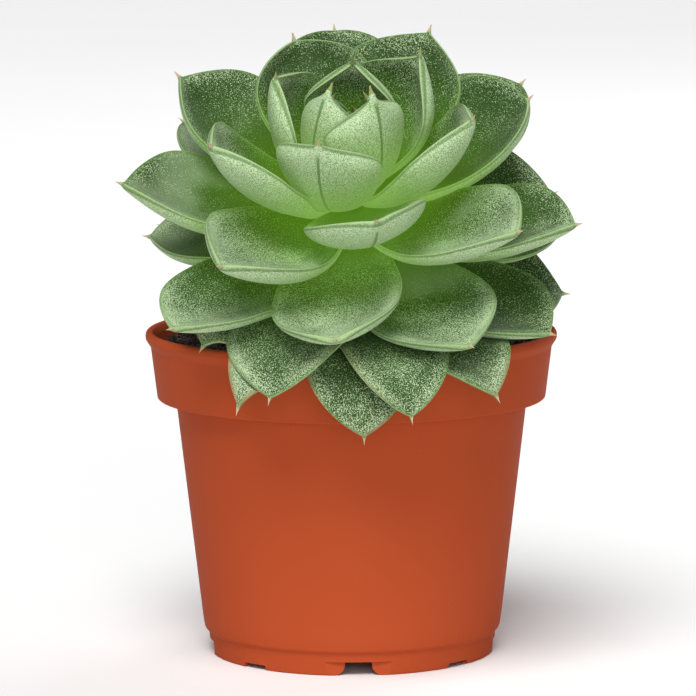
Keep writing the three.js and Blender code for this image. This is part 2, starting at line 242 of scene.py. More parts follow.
def finish_piece(bm, name, paint, slot, *stands_for, sharp=None):
    """Hands a bmesh over to a new object. Edges that bend more than sharp degrees stay crisp."""
    mesh = bpy.data.meshes.new(name)
    bm.to_mesh(mesh)
    bm.free()
    if sharp is not None:
        mesh.set_sharp_from_angle(angle=math.radians(sharp))
    mesh.materials.append(paint.material)
    piece = bpy.data.objects.new(name, mesh)
    bpy.context.scene.collection.objects.link(piece)
    if slot:
        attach(piece, "root")
        if stands_for:
            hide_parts(*stands_for)
    return piece


# %% [markdown]
# The floor is a sheet of pale board, far wider than any camera sees, so that its edge never shows. It
# lies a hair under the pot, so that their two flat faces don't flicker through each other. It is no
# piece of the part, so it rides on no body.

# %% Floor
FLOOR_GAP = 0.05

floor_paint = Paint("pale_floor", Roughness=0.8)
dust = floor_paint.noise(6, 3)
floor_paint.feed(Base_Color=floor_paint.mix(dust, colour(0.87, 0.87, 0.87), colour(0.90, 0.90, 0.90)))
bm = bmesh.new()
bmesh.ops.create_grid(bm, x_segments=1, y_segments=1, size=FLOOR_SIZE / 2)
bmesh.ops.translate(bm, verts=bm.verts, vec=(0, 0, -FLOOR_GAP * MM))
finish_piece(bm, "floor", floor_paint, None)
print("floor is", FLOOR_SIZE, "m wide")

# %% [markdown]
# ## The pot
#
# A nursery pot is injection moulded: one thin wall, every corner slightly rounded, and drafted so that
# it leaves the mould. It is a solid of revolution with four notches and four slits in its foot. Its
# wall's outline is drawn once as a chain of points, their corners are rounded with a vertex bevel, and the
# chain is spun round the middle. The notches are then cut by simple blocks, whose own corners are
# rounded first.

# %% The pot's wall
WALL = 1.0
BAND_LOW = 56.2
FLOOR_UNDERSIDE = 3.4
FOOT_INSIDE = 29.7
REST_RADIUS = 14
POT_STEPS = 192

# Radius and height in mm, and how far the corner is rounded, from the pad under the pot outwards, up
# the outside, over the lip and down the inside.
POT_OUTLINE = [
    (REST_RADIUS, 0, 0.4),
    (REST_RADIUS + 1.5, FLOOR_UNDERSIDE, 0.4),
    (FOOT_INSIDE, FLOOR_UNDERSIDE, 0.3),
    (FOOT_INSIDE, 0, 0.25),
    (31.2, 0, 0.3),
    (31.6, 4.6, 0.3),
    (32.5, 5.4, 0.35),
    (32.9, 8, 0.8),
    (38.5, BAND_LOW, 0.4),
    (42.5, BAND_LOW, 0.35),
    (43.9, 67.6, 0.3),
    (44.55, 68.6, 0.3),
    (45.0, 69.3, 0.3),
    (45.0, 70.5, 0.45),
    (44.4, 71, 0.3),
    (43.5, 70.9, 0.3),
    (42.9, 69.3, 0.4),
    (41.5, BAND_LOW + WALL, 0.4),
    (37.5, BAND_LOW + WALL, 0.4),
    (31.9, 8, 0.5),
    (30.1, FLOOR_UNDERSIDE + WALL, 0.4),
    (REST_RADIUS + 0.5, FLOOR_UNDERSIDE + WALL, 0.4),
    (REST_RADIUS - WALL, WALL, 0.4),
]


def spin_outline(outline, steps, ends_on_axis=(0, WALL)):
    """A bmesh of a rounded outline, spun round +Z. Its two ends run in to the axis at these heights."""
    bm = bmesh.new()
    corners = [bm.verts.new(Vector((radius, 0, height)) * MM) for radius, height, _ in outline]
    first = bm.verts.new((0, 0, ends_on_axis[0] * MM))
    last = bm.verts.new((0, 0, ends_on_axis[1] * MM))
    chain = [first, *corners, last]
    for a, b in zip(chain, chain[1:]):
        bm.edges.new((a, b))
    for corner, (_, _, rounding) in zip(corners, outline):
        bmesh.ops.bevel(bm, geom=[corner], offset=rounding * MM, segments=3, profile=0.5,
                        affect="VERTICES", material=-1)
    bmesh.ops.spin(bm, geom=bm.verts[:] + bm.edges[:], cent=(0, 0, 0), axis=(0, 0, 1), dvec=(0, 0, 0),
                   angle=2 * math.pi, steps=steps, use_merge=True)
    bmesh.ops.remove_doubles(bm, verts=bm.verts, dist=0.001 * MM)
    bmesh.ops.recalc_face_normals(bm, faces=bm.faces)
    for face in bm.faces:
        face.smooth = True
    return bm


pot_bm = spin_outline(POT_OUTLINE, POT_STEPS)
print("pot wall:", len(pot_bm.faces), "faces, closed:", all(len(e.link_faces) == 2 for e in pot_bm.edges))

# %% [markdown]
# The foot's notches let water run out under the pot. Each is a shallow pocket in the foot's outside and,
# at its back, a way through whose cheeks have rounded lower corners. A Boolean modifier cuts each
# kind at once with a cutter mesh, and its result is kept as the pot's own mesh. The cutters stick out
# past the plastic, so that no two faces lie in one plane.

# %% The pot's notches and drain holes
FOOT_RADIUS = 31.2
NOTCH_TURN = math.radians(2.4)
NOTCH_SIZE = (14.2, 3.0, 0.7)
MOUTH_WIDTH = 5.8
MOUTH_ROUND = 2.3
MOUTH_REACH = 5
SLIT_SIZE = (6.2, 1.0, 4.0)
DRAIN_RADIUS = 3.2
DRAIN_PLACE = 23.0
PAST = 3


def cutting_block(bm, width, height, reach, rounding, turn):
    """A block that reaches into the foot's front from outside, turned round the pot."""
    made = bmesh.ops.create_cube(bm, size=1)["verts"]
    bmesh.ops.scale(bm, vec=Vector((width, reach + PAST, height + PAST)) * MM, verts=made)
    middle = Vector((0, -FOOT_RADIUS + (reach - PAST) / 2, (height - PAST) / 2)) * MM
    bmesh.ops.translate(bm, vec=middle, verts=made)
    corners = [e for e in {e for v in made for e in v.link_edges}
               if all(v.co.z > 0 for v in e.verts) and abs(e.verts[0].co.x - e.verts[1].co.x) < 1e-9]
    rounded = bmesh.ops.bevel(bm, geom=corners, offset=rounding * MM, segments=3, profile=0.5,
                              affect="EDGES", material=-1)
    made = list({v for v in made if v.is_valid} | set(rounded["verts"]))
    bmesh.ops.rotate(bm, cent=(0, 0, 0), matrix=Matrix.Rotation(turn, 3, "Z"), verts=made)


def mouth_cutter(bm, turn):
    """The way through: a block whose lower half flares out round the cheeks' corners."""
    half, low = MOUTH_WIDTH / 2, MOUTH_WIDTH / 2 + MOUTH_ROUND
    arc = [math.pi / 2 * k / 6 for k in range(7)]
    side = [(low - MOUTH_ROUND * math.sin(a), MOUTH_ROUND * (1 - math.cos(a))) for a in arc]
    side = [(low, -1.5), *side, (half, NOTCH_SIZE[1])]
    outline = side + [(-x, z) for x, z in reversed(side)]
    verts = [bm.verts.new(Vector((x, -FOOT_RADIUS - PAST, z)) * MM) for x, z in outline]
    face = bm.faces.new(verts)
    pushed = bmesh.ops.extrude_face_region(bm, geom=[face])["geom"]
    back = [v for v in pushed if isinstance(v, bmesh.types.BMVert)]
    bmesh.ops.translate(bm, vec=(0, (MOUTH_REACH + PAST) * MM, 0), verts=back)
    bmesh.ops.rotate(bm, cent=(0, 0, 0), matrix=Matrix.Rotation(turn, 3, "Z"), verts=verts + back)


def drain_cutter(bm, turn):
    """A round peg through the pot's floor."""
    at = Matrix.Rotation(turn, 4, "Z") @ Matrix.Translation(Vector((0, -DRAIN_PLACE, 4)) * MM)
    bmesh.ops.create_cone(bm, cap_ends=True, segments=32, radius1=DRAIN_RADIUS * MM,
                          radius2=DRAIN_RADIUS * MM, depth=6 * MM, matrix=at)


def cut_away(bm, cut_bm):
    """The first bmesh less the second, by a Boolean modifier."""
    made = []
    for name, source in (("body", bm), ("cutter", cut_bm)):
        mesh = bpy.data.meshes.new(name)
        source.to_mesh(mesh)
        source.free()
        made.append(bpy.data.objects.new(name, mesh))
        bpy.context.scene.collection.objects.link(made[-1])
    body, cutter = made
    boolean = body.modifiers.new("cut", "BOOLEAN")
    boolean.operation = "DIFFERENCE"
    boolean.solver = "EXACT"
    boolean.object = cutter
    result = bmesh.new()
    result.from_object(body, bpy.context.evaluated_depsgraph_get())
    for old in made:
        mesh = old.data
        bpy.data.objects.remove(old)
        bpy.data.meshes.remove(mesh)
    return result


for cutter in ("pocket", "mouth", "drain"):
    cut_bm = bmesh.new()
    for quarter in range(4):
        turn = NOTCH_TURN + quarter * math.pi / 2
        if cutter == "pocket":
            cutting_block(cut_bm, *NOTCH_SIZE, 0.35, turn)
            cutting_block(cut_bm, *SLIT_SIZE, 0.3, turn + math.pi / 4)
        elif cutter == "mouth":
            mouth_cutter(cut_bm, turn)
        else:
            drain_cutter(cut_bm, turn)
    bmesh.ops.recalc_face_normals(cut_bm, faces=cut_bm.faces)
    pot_bm = cut_away(pot_bm, cut_bm)
print("pot after the cuts:", len(pot_bm.faces), "faces")

# %% [markdown]
# Terracotta-coloured plastic is satin: the moulded skin has a very fine grain, broad faint clouds where
# the melt flowed, and a few pale scuffs and dust specks from the greenhouse. The colour changes little,
# so most of the life comes from roughness and a fine bump.

# %% Plastic
plastic = Paint("terracotta_plastic", IOR=1.46, Specular_IOR_Level=0.02)
flow = plastic.noise(28, 3)
grain = plastic.noise(5200, 2)
specks = plastic.cells(330).rise(0.075, 0.05) * plastic.noise(160, 1).rise(0.6, 0.68)
warm = plastic.mix(flow, colour(0.37, 0.060, 0.019), colour(0.41, 0.069, 0.023))
plastic.feed(
    Base_Color=plastic.mix(specks * 0.35, warm, colour(0.45, 0.20, 0.13)),
    Roughness=0.5 + flow * 0.1 + specks * 0.2,
    Normal=plastic.bump(grain, 0.02 * MM, 0.35),
)
pot = finish_piece(pot_bm, "pot_body", plastic, "pot", "pot", sharp=35)
print("pot is", round(pot.dimensions.x / MM, 1), "mm wide and", round(pot.dimensions.z / MM, 1), "mm tall")

# %% [markdown]
# ## The rule of the rosette
#
# Each new leaf turns 137.5 degrees on from the last, which spreads them evenly at any count. A leaf's
# age is its number, 0 for the youngest open leaf. All its sizes follow its age by the same falling curve,
# from the young value to the old one. A real plant isn't that regular, so a table then says how single
# leaves differ: some have arched down over the lip, some turned their shoulders up, some are blunter.

# %% The rule of the rosette
GOLDEN_ANGLE = 137.508
FIRST_TURN = -46
LEAF_STEP = 0.58
ROOT_REACH = 5.1
LAST_AGE = 47
FALLEN = (29, 37, 41, 42, 43, 44, 45, 46)

# Each pair is the youngest leaf's value and the oldest's: degrees, mm, and radians for the cup.
LIFT = (87, -18)
LENGTH = (26, 49)
WIDTH = (18, 28)
THICKNESS = (2.6, 4.4)
CUP = (1.0, 0.34)
CURL = (30, 12)
POINT = (1.25, 0.62)
TIP_FOLD = 0.15

# Single leaves depart from the rule, as the plant grew them: turn, lift, roll, curl and droop in
# degrees, reach and broad as shares of the leaf's length and width, low in mm further down the stem,
# and point, thickness, cup and fold as above. Droop bends a leaf's end down.
CHARACTER = {
    0: dict(turn=4, lift=3, reach=1.07, broad=0.95, point=1.7),
    1: dict(turn=-5, reach=0.93, broad=1.15),
    2: dict(turn=-5, lift=8, reach=1.05, point=2.2),
    3: dict(turn=-3, lift=1, reach=0.92, broad=1.1),
    4: dict(turn=2, reach=0.92, broad=1.15, point=1.35),
    5: dict(turn=-1, lift=3, point=1.4, cup=0.8, fold=0),
    6: dict(turn=-5, lift=-7, reach=0.87, broad=1.15, point=0.55),
    7: dict(turn=-7, lift=6, point=1, fold=0.1),
    8: dict(turn=8, lift=4),
    9: dict(turn=-6, lift=-1, reach=0.95, broad=1.15, point=1),
    10: dict(turn=-10, lift=4, roll=8, point=0.7, cup=0.5, fold=0),
    11: dict(turn=-5, lift=-3, point=0.95),
    12: dict(turn=7, lift=2, reach=0.95, broad=1.12, point=0.5),
    13: dict(turn=-1, lift=-2, roll=-8, thickness=5),
    14: dict(turn=-6, lift=1, reach=1.07, broad=1.1, point=0.6),
    15: dict(turn=-2, lift=8, roll=8, fold=0.1),
    16: dict(turn=3, lift=6, point=0.95),
    17: dict(turn=-5, lift=7, reach=1.05, broad=1.12, point=0.75),
    18: dict(turn=-2, lift=-1, broad=1.03, curl=12, droop=-16, roll=10, point=0.45,
             thickness=3.3, fold=0.05),
    19: dict(turn=4, lift=1, broad=0.8),
    20: dict(turn=-10, lift=9, point=0.8),
    21: dict(turn=7, lift=-3, curl=14, droop=-7, roll=6, point=0.55, thickness=3.4, fold=0.1),
    23: dict(turn=-2, lift=3, broad=1.03, curl=14, droop=-7, roll=5, low=1, point=0.55,
             thickness=3.4, fold=0.1),
    24: dict(turn=3, lift=-5, reach=0.87, point=0.9),
    25: dict(turn=2, broad=1.4, roll=16, point=0.6),
    26: dict(turn=2, lift=-2, curl=-18, droop=18, roll=12, low=5.5, point=0.8,
             thickness=2.8, cup=0.1, fold=0.15),
    28: dict(turn=-8, lift=1, curl=14, droop=0, point=0.7, thickness=3.6),
    31: dict(turn=2, lift=3, reach=1.08, broad=0.82, curl=-21, droop=24, roll=-4, low=7,
             point=0.75, thickness=2.8, cup=0.1, fold=0.15),
    33: dict(turn=7, lift=-9, broad=1.25, roll=14, point=1),
    34: dict(turn=-3, lift=12, reach=0.84, broad=0.85, curl=-14, droop=30, low=6, point=1,
             thickness=2.6, cup=0.15),
    36: dict(turn=-9, lift=4, reach=1.05, broad=0.8, curl=-16, droop=16, low=3,
             point=0.95, thickness=3, cup=0.15),
    38: dict(turn=14, lift=-5),
    39: dict(turn=12, lift=-3, broad=0.85, curl=-37, droop=34, low=2.5, point=0.95,
             thickness=2.4, cup=0.1),
    47: dict(turn=2, lift=10, broad=0.5, curl=-26, droop=24, roll=-3, low=4, point=1.1,
             thickness=2.4, cup=0.15),
}


def youth(age, leaves, power=1.0):
    """1 for the youngest leaf, falling towards 0 over about this many leaves. Power delays the fall."""
    return math.exp(-((age / leaves) ** power))


def between(pair, share):
    """The old value at 0 and the young one at 1."""
    young, old = pair
    return old + (young - old) * share


def leaf_sizes(age):
    """All that the rule and the leaf's own character say about it. Youth's numbers count leaves."""
    own = CHARACTER.get(age, {})
    sizes = dict(
        age=age,
        turn=FIRST_TURN - age * GOLDEN_ANGLE + own.get("turn", 0),
        lift=between(LIFT, youth(age, 12, 1.15)) + own.get("lift", 0),
        length=between(LENGTH, youth(age, 9, 1.2)) * own.get("reach", 1),
        width=between(WIDTH, youth(age, 5)) * own.get("broad", 1),
        thickness=between(THICKNESS, youth(age, 5)),
        cup=between(CUP, youth(age, 12)),
        curl=between(CURL, youth(age, 10)),
        point=between(POINT, youth(age, 4)),
        droop=0,
        roll=0,
        low=0,
        fold=TIP_FOLD,
        root_reach=ROOT_REACH,
    )
    for size in ("thickness", "cup", "curl", "point", "droop", "roll", "low", "fold"):
        sizes[size] = own.get(size, sizes[size])
    return sizes


ages = [age for age in range(LAST_AGE + 1) if age not in FALLEN]
print(len(ages), "open leaves; leaf 20 is", round(leaf_sizes(20)["length"], 1), "mm long")

# %% [markdown]
# ## The stem's line
#
# The stem grows straight up and then leans forward to the light, as a smooth curve through three points.
# Leaves sit along it at even steps, measured along the curve, so the curve is first measured out.

# %% The stem's line
STEM_APEX = Vector((-0.8, -24, 107.5))
STEM_BEND = Vector((-0.8, -9, 86))
STEM_ROOT = Vector((0, -8, 55))
STEM_RADIUS = 4.4


def bezier(points, t):
    """The place and the direction at t on a Bezier curve, by drawing lines between lines."""
    while len(points) > 2:
        points = [a.lerp(b, t) for a, b in zip(points, points[1:])]
    return points[0].lerp(points[1], t), (points[1] - points[0]).normalized()


STEM_POINTS = [STEM_APEX, STEM_BEND, STEM_ROOT]
MEASURES = 200
stem_places = [bezier(STEM_POINTS, k / MEASURES)[0] for k in range(MEASURES + 1)]
stem_lengths = [0.0]
for above, below in zip(stem_places, stem_places[1:]):
    stem_lengths.append(stem_lengths[-1] + (below - above).length)


def stem_at(distance):
    """The stem's middle at a distance down from its tip, and the way that it grows there."""
    k = max(1, next((k for k, d in enumerate(stem_lengths) if d >= distance), MEASURES))
    share = (distance - stem_lengths[k - 1]) / (stem_lengths[k] - stem_lengths[k - 1])
    place, down = bezier(STEM_POINTS, (k - 1 + share) / MEASURES)
    return place, -down


print("stem is", round(stem_lengths[-1], 1), "mm long")

# %% [markdown]
# ## One leaf
#
# A leaf of this plant is a thick boat: a full upper face like a cushion, a crisp pale margin, a deeper
# belly underneath with a soft keel, and a hard point at its end. It could be sculpted, but forty leaves
# that must fit one another are surer by formula. The first formulas give the outline and the thickness
# at a station, which is a share of the way from the root to the tip.

# %% The leaf's outline and thickness
ROOT_WIDTH = 0.42
WIDEST_AT = 0.63
WAIST = 1.25
SHOULDER = 2.2
ROOT_THICKNESS = 1.6
TIP_THICKNESS = 0.9
THICKEST_EARLY = 0.85
FULLNESS = 0.7
TIP_WIDTH = 0.75
MUCRO_LENGTH = 2.0


def blade_outline(station, point):
    """The share of its half width that a blade has at a station. Under 1, point makes a blunt end."""
    if station < WIDEST_AT:
        rise = math.sin(station / WIDEST_AT * math.pi / 2) ** WAIST
        return ROOT_WIDTH + (1 - ROOT_WIDTH) * rise
    fall = (station - WIDEST_AT) / (1 - WIDEST_AT)
    return max(0, 1 - fall**SHOULDER) ** point


def blade_half(station, sizes):
    """The half width in mm."""
    return max(sizes["width"] / 2 * blade_outline(station, sizes["point"]), TIP_WIDTH / 2)


def blade_thickness(station, full):
    """The thickness in mm, of a blade whose fullest place has this thickness."""
    ends = ROOT_THICKNESS + (TIP_THICKNESS - ROOT_THICKNESS) * station
    return ends + (full - ends) * math.sin(math.pi * station**THICKEST_EARLY) ** FULLNESS


def step_up(value, low, high):
    """0 below low, 1 above high, and a smooth step between them."""
    share = max(0, min(1, (value - low) / (high - low)))
    return share * share * (3 - 2 * share)


print("half width of leaf 18, mm:", [round(blade_half(k / 5, leaf_sizes(18)), 1) for k in range(6)])

# %% [markdown]
# The midrib is a Bezier curve from the root to the tip. It sets off flatter than the straight line
# between them and comes up again, so that a leaf curves round the bud; an old leaf arches the other
# way. The frame of its root stands on the stem: out, sideways, and up along the stem. The midrib ends
# in the mucro, the short hard point. A blade that rolls over to one side does so in its first part.

# %% The leaf's midrib
ROLLED_AT = 0.5
ARRIVAL = 0.8


def root_frame(sizes):
    """A leaf's root, and the ways out from the stem, sideways and up along the stem."""
    middle, up = stem_at(max(0, sizes["age"] * LEAF_STEP + sizes["low"]))
    front = Vector((0, -1, 0))
    front = (front - front.dot(up) * up).normalized()
    out = Quaternion(up, math.radians(sizes["turn"])) @ front
    return middle + out * sizes["root_reach"], out, up.cross(out), up


def midrib_of(sizes):
    """The four points of the midrib's curve, and the way sideways at its root."""
    root, out, side, up = root_frame(sizes)

    def towards(degrees):
        return out * math.cos(math.radians(degrees)) + up * math.sin(math.radians(degrees))

    chord = sizes["length"] - MUCRO_LENGTH
    tip = root + towards(sizes["lift"]) * chord
    leave = towards(sizes["lift"] - sizes["curl"])
    arrive = towards(sizes["lift"] + sizes["curl"] * ARRIVAL - sizes["droop"])
    return [root, root + leave * chord / 3, tip - arrive * chord / 3, tip], side


def midrib_frame(curve, side, roll, station):
    """The midrib's place, and the ways along it, across the blade and out of its upper face."""
    middle, along = bezier(curve, station)
    rolled = roll * math.sin(min(1, station / ROLLED_AT) * math.pi / 2)
    across = Quaternion(along, math.radians(rolled)) @ side
    return middle, along, across, along.cross(across)


print("tip of leaf 18, mm:", [round(v, 1) for v in midrib_of(leaf_sizes(18))[0][3]])

# %% [markdown]
# The blade starts as a UV sphere, whose poles become the root and the tip: each ring of the sphere goes
# to a station along the midrib, and each meridian to a place round the section. Rings crowd towards
# the tip, where a blunt leaf closes fast. Every point also remembers where on the leaf it is: its
# station, its way across, and its distance from the margin. The material paints by those numbers.

# %% The leaf's section
AROUND = 48
BLADE_RINGS = 46
MUCRO_RINGS = 6
RINGS = BLADE_RINGS + MUCRO_RINGS
TIP_CROWDING = 1.6
BELLY_POWER = 2.4
BELLY_TUCK = 0.12
PILLOW = 0.55
PILLOW_POWER = 9
PILLOW_FROM = 5


def station_of(ring):
    """The share of the midrib and of the mucro that a ring has reached."""
    along_blade = max(0, min(1, (ring - 1) / (BLADE_RINGS - 1)))
    return 1 - (1 - along_blade) ** TIP_CROWDING, max(0, ring - BLADE_RINGS) / MUCRO_RINGS


def true_share(station, sizes):
    """How much nearer the slanting margin is than it measures straight across the blade."""
    step = 0.004
    rise = blade_half(min(1, station + step), sizes) - blade_half(max(0, station - step), sizes)
    return 1 / math.hypot(1, rise / (2 * step * sizes["length"]))


def section_point(sizes, half, full, angle):
    """A point round the section: share of the half width, mm below the margin, mm from the margin."""
    cosine, sine = math.cos(angle), math.sin(angle)
    if sine >= -1e-6:
        swell = PILLOW * min(1, half / PILLOW_FROM) * (1 - abs(cosine) ** PILLOW_POWER)
        return cosine, -swell, (1 - abs(cosine)) * half
    drop = full * (1 - abs(cosine) ** BELLY_POWER) ** 0.5 * (1 - BELLY_TUCK * abs(cosine))
    return cosine, drop, -math.hypot((1 - abs(cosine)) * half, drop)


def ring_and_meridian(place):
    """Which ring and which meridian of a unit UV sphere a point is on."""
    ring = round(math.acos(max(-1, min(1, place.z))) / math.pi * RINGS)
    return ring, round(math.atan2(place.y, place.x) / (2 * math.pi) * AROUND) % AROUND


print("stations of every tenth ring:", [round(station_of(ring)[0], 2) for ring in range(1, RINGS, 10)])

# %% [markdown]
# Now the sphere's points go to their places. The section is bent round a circle, which cups the blade,
# and its margins are lifted a little more towards the tip, which folds it. No living leaf is quite even,
# so a slow noise moves the margin by a few percent and the faces by a third of a millimetre. Beyond the
# blade's end the rings shrink into the mucro, and the root's pole is sunk into the stem.

# %% Growing a leaf
MARGIN_WAVE = 0.03
FACE_WAVE = 0.3
FACE_WAVE_SCALE = 0.13
MUCRO_TAPER = 1.7
MUCRO_DEPTH = 0.3
MUCRO_EDGE = -0.3
ROOT_SUNK = 1.8


def grow_leaf(bm, sizes, seed):
    """Adds one leaf to the bmesh. Returns its points by ring and meridian, and each ring's way up."""
    place_layer = bm.verts.layers.float_vector.get("leaf_place")
    age_layer = bm.verts.layers.float.get("leaf_age")
    curve, side = midrib_of(sizes)
    grid, faces_up = {}, {}
    for vert in bmesh.ops.create_uvsphere(bm, u_segments=AROUND, v_segments=RINGS, radius=1)["verts"]:
        ring, meridian = ring_and_meridian(vert.co)
        angle = 2 * math.pi * meridian / AROUND
        station, beyond = station_of(ring)
        middle, along, across, face = midrib_frame(curve, side, sizes["roll"], station)
        full = blade_thickness(station, sizes["thickness"])
        wave = noise.noise(Vector((station * 2.6, seed * 7.3, math.cos(angle) * 0.8)))
        half = blade_half(station, sizes) * (1 + MARGIN_WAVE * wave)
        u, drop, edge = section_point(sizes, half, full, angle)
        edge *= true_share(station, sizes)
        if beyond:
            shrink = (1 - beyond) ** MUCRO_TAPER
            half *= shrink
            drop = (drop - full * MUCRO_DEPTH) * shrink + full * MUCRO_DEPTH
        bend = sizes["cup"] * u
        aside = half * math.sin(bend) / sizes["cup"] + drop * math.sin(bend)
        folded = sizes["fold"] * station**3 * half * abs(u)
        rise = half * (1 - math.cos(bend)) / sizes["cup"] + folded - drop * math.cos(bend)
        spot = middle + across * aside + face * rise + along * MUCRO_LENGTH * beyond
        face_wave = noise.noise(spot * FACE_WAVE_SCALE + Vector((seed, 0, 0)))
        spot += face * FACE_WAVE * face_wave * (1 - station**4)
        if ring == 0:
            spot = middle - root_frame(sizes)[1] * ROOT_SUNK - face * full / 2
        vert.co = spot * MM
        vert[place_layer] = (station + beyond, u * half, MUCRO_EDGE if beyond else edge)
        vert[age_layer] = sizes["age"]
        grid[ring, meridian] = vert
        faces_up[ring] = face
    for ring in range(1, BLADE_RINGS):
        for margin in (0, AROUND // 2):
            bm.edges.get((grid[ring, margin], grid[ring + 1, margin])).smooth = False
    return grid, faces_up


def leaf_mesh():
    """An empty bmesh whose points can remember where on a leaf they are."""
    bm = bmesh.new()
    bm.verts.layers.float_vector.new("leaf_place")
    bm.verts.layers.float.new("leaf_age")
    return bm


# %% [markdown]
# Leaves grow in tight order: each older leaf lies under its younger neighbours, and gives way where they
# press on it. So each new leaf is tested against the younger ones that are already there. A ray goes up
# from under each point of its upper face; if it meets a younger leaf before it has passed the point, that
# point is too high, and the leaf is pressed down there, both faces alike. The pressing is then spread over
# the points around, so that the leaf bends and isn't dented. At its root a leaf is part of the stem and
# stays as it is. The test is a simple one and doesn't part the leaves everywhere. Many still run into each
# other, mostly near the root, and two run into the lip of the pot. This is 2.4 mm deep at most where it was
# measured, which was further than 4 mm from the stem.

# %% Settling a leaf under the younger ones
NEIGHBOURS = 16
DEEPEST_PRESS = 6.0
LEAF_GAP = 0.12
SPREADING = 8
FREE_ROOT = (0.05, 0.25)


def pressing(spot, up, younger):
    """How far a point has to go down to lie under the younger leaves, in mm."""
    start = spot - up * DEEPEST_PRESS * MM
    needed = 0
    for tree in younger[-NEIGHBOURS:]:
        _, normal, _, distance = tree.ray_cast(start, up, (DEEPEST_PRESS + LEAF_GAP) * MM)
        if distance is not None and normal.dot(up) < 0:
            needed = max(needed, DEEPEST_PRESS + LEAF_GAP - distance / MM)
    return needed


def settle(grid, faces_up, younger):
    """Presses a grown leaf down under the younger ones. Returns the deepest pressing in mm."""
    spots = [(ring, k) for ring in range(1, RINGS) for k in range(AROUND // 2 + 1)]
    needed = {}
    for ring, k in spots:
        loose = step_up(station_of(ring)[0], *FREE_ROOT)
        needed[ring, k] = loose * pressing(grid[ring, k].co, faces_up[ring], younger)
    press = dict(needed)
    for _ in range(SPREADING):
        spread = {}
        for ring, k in spots:
            around = ((ring - 1, k), (ring + 1, k), (ring, k - 1), (ring, k + 1))
            spread[ring, k] = max(needed[ring, k], sum(press.get(at, 0) for at in around) / 4)
        press = spread
    for ring, k in spots:
        for meridian in {k, -k % AROUND}:
            grid[ring, meridian].co -= faces_up[ring] * press[ring, k] * MM
    return max(press.values())


print("a leaf has", RINGS * AROUND, "faces")

# %% [markdown]
# ## The leaf's skin
#
# Seen close, the upper face is dark green under a very fine frost of pale wax, thicker towards the margin
# and the tip. The underside has so much wax that it is nearly white. Where light gets through the thick
# flesh, near the root, it glows yellow-green. The margin itself is a thin, pale, hard line, and the tip a
# tan point. One material paints all of this from the place on the leaf that each point carries, so the
# frost follows the leaf and the line stays on the margin. Along the leaf it counts in stations, across it
# and from the margin in millimetres, and the number from the margin is below zero on the underside.

# %% The leaf's skin: what is where
skin = Paint("leaf_skin", IOR=1.42, Specular_IOR_Level=0.22, Emission_Strength=1, Sheen_Weight=0.08,
             Sheen_Roughness=0.4, Sheen_Tint=colour(0.85, 1, 0.75))
along, across, edge = skin.own("leaf_place").parts()
age = skin.own("leaf_age", "Fac")

upper = edge.rise(-0.06, 0.06)
clouds = skin.noise(95, 3)
blotches = skin.noise(38, 2)
fine = skin.noise(3900, 2, roughness=0.7)
finer = skin.noise(4200, 1, roughness=0.5)
near_root = (along + clouds * 0.25 - 0.12).rise(0.44, 0.05)
from_margin = edge.size()
frosting = along.rise(0.3, 1.0) * 0.05 + from_margin.rise(4.0, 1.0) * 0.05 + (clouds - 0.5) * 0.2

# Painted light: the leaves on the plant's front, which lie more in the light, get more pale frost, the
# young ones most.
painted_front_light = skin.place().parts()[1].rise(-22 * MM, -52 * MM)
frosting = frosting + painted_front_light * (0.13 - age.rise(20, 28) * 0.09) + age.rise(8, 3) * 0.04 - 0.07

# %% The leaf's skin: the frost on green flesh
speck = (fine + frosting).rise(0.535, 0.625)
dark = skin.mix(clouds, colour(0.014, 0.043, 0.004), colour(0.027, 0.070, 0.008))
wax = skin.mix(along.rise(0.3, 0.8), colour(0.28, 0.46, 0.16), colour(0.38, 0.49, 0.29))
upper_face = skin.mix(speck, dark, wax)

under_speck = (finer + frosting * 0.3).rise(0.43, 0.61)
under_wax = skin.mix(along.rise(0.35, 0.9), colour(0.40, 0.60, 0.24), colour(0.50, 0.62, 0.40))
under_face = skin.mix(under_speck, colour(0.19, 0.34, 0.10), under_wax)
flesh = skin.mix(upper, under_face, upper_face)

sheen = blotches.rise(0.53, 0.68) * age.rise(4, 10) * upper
flesh = skin.mix(sheen * 0.42, flesh, colour(0.27, 0.35, 0.21))

# %% [markdown]
# Light through the flesh is painted twice: as a brighter green, and as a faint light of its own. True
# scattering under the skin would be the physical way, but it blurs the frost, which is finer than the
# flesh is deep.

# %% The leaf's skin: light through the flesh, the margin, the keel and the point
glow = skin.mix(upper, colour(0.30, 0.52, 0.10), colour(0.075, 0.19, 0.006))
flesh = skin.mix(near_root * 0.7, flesh, glow)

# Painted light: a greener band about a millimetre wide along the margin stands for light that shines
# through the thin edge. The frost's bump fades in it too.
painted_edge_light = from_margin.rise(1.0, 0.1)
painted_edge_light_colour = skin.mix(along.rise(0.3, 0.85), colour(0.11, 0.24, 0.02), colour(0.09, 0.18, 0.04))
flesh = skin.mix(painted_edge_light * 0.52, flesh, painted_edge_light_colour)
# Painted shade: a dark thin line on the underside, about 0.4 mm below the margin, where the edge turns
# under.
painted_crease_shade = (edge + 0.42).size().rise(0.26, 0.1)
flesh = skin.mix(painted_crease_shade * 0.5, flesh, colour(0.04, 0.10, 0.015))
line = (edge + 0.03).size().rise(0.13, 0.05)
flesh = skin.mix(line * (0.3 + 0.4 * age.rise(30, 14)), flesh, colour(0.36, 0.50, 0.22))

# Painted shade: a dark line down the middle of the underside stands for the shade in the keel's crease.
painted_keel_shade = across.size().rise(0.32, 0.16) * (1 - upper) * along.rise(0.12, 0.3) * (1 - along.rise(0.9, 0.97))
flesh = skin.mix(painted_keel_shade * 0.75, flesh, colour(0.07, 0.165, 0.025))

